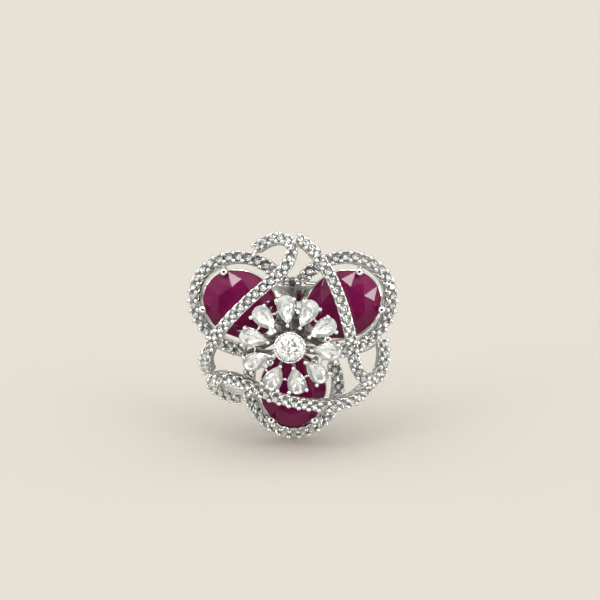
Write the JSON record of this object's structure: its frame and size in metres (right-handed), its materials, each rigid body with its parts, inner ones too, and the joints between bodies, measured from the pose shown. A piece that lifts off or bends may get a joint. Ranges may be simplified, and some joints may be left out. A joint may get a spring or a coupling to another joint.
{
  "type": "cocktail ring",
  "caption": "Large finger ring: oval red stones in a trefoil, wrapped by channel-set ribbons, under a raised flower of pear-shaped white stones",
  "frame": {"origin": "centre of the finger hole, at the middle of the band's width", "axes": "+Z runs along the finger and is up as the ring is shown, the head faces -Y, +X is to the right of a viewer who faces the head"},
  "size_m": [0.0272, 0.0319, 0.0281],
  "materials": {
    "silver": "polished white metal",
    "red_stone": "faceted, nearly opaque red stone",
    "white_stone": "faceted colourless stone"
  },
  "bodies": {
    "root": {"shank": "silver", "shoulder_right": "silver", "shoulder_left": "silver", "under_gallery": "silver", "oval_basket_right": "silver", "oval_basket_left": "silver", "oval_basket_lower": "silver", "oval_stone_right": "red_stone", "oval_stone_left": "red_stone", "oval_stone_lower": "red_stone", "halo_right": "silver", "halo_left": "silver", "halo_lower": "silver", "halo_stones_right": "white_stone", "halo_stones_left": "white_stone", "halo_stones_lower": "white_stone", "swirl_right": "silver", "swirl_left": "silver", "swirl_lower": "silver", "swirl_stones_right": "white_stone", "swirl_stones_left": "white_stone", "swirl_stones_lower": "white_stone", "flower_leg_right": "silver", "flower_leg_left": "silver", "flower_leg_lower": "silver", "flower_frame": "silver", "petal_bridges": "silver", "centre_bezel": "silver", "centre_stone": "white_stone", "pear_setting_01": "silver", "pear_setting_02": "silver", "pear_setting_03": "silver", "pear_setting_04": "silver", "pear_setting_05": "silver", "pear_setting_06": "silver", "pear_setting_07": "silver", "pear_setting_08": "silver", "pear_setting_09": "silver", "pear_setting_10": "silver", "pear_stone_01": "white_stone", "pear_stone_02": "white_stone", "pear_stone_03": "white_stone", "pear_stone_04": "white_stone", "pear_stone_05": "white_stone", "pear_stone_06": "white_stone", "pear_stone_07": "white_stone", "pear_stone_08": "white_stone", "pear_stone_09": "white_stone", "pear_stone_10": "white_stone"}
  },
  "joints": []
}
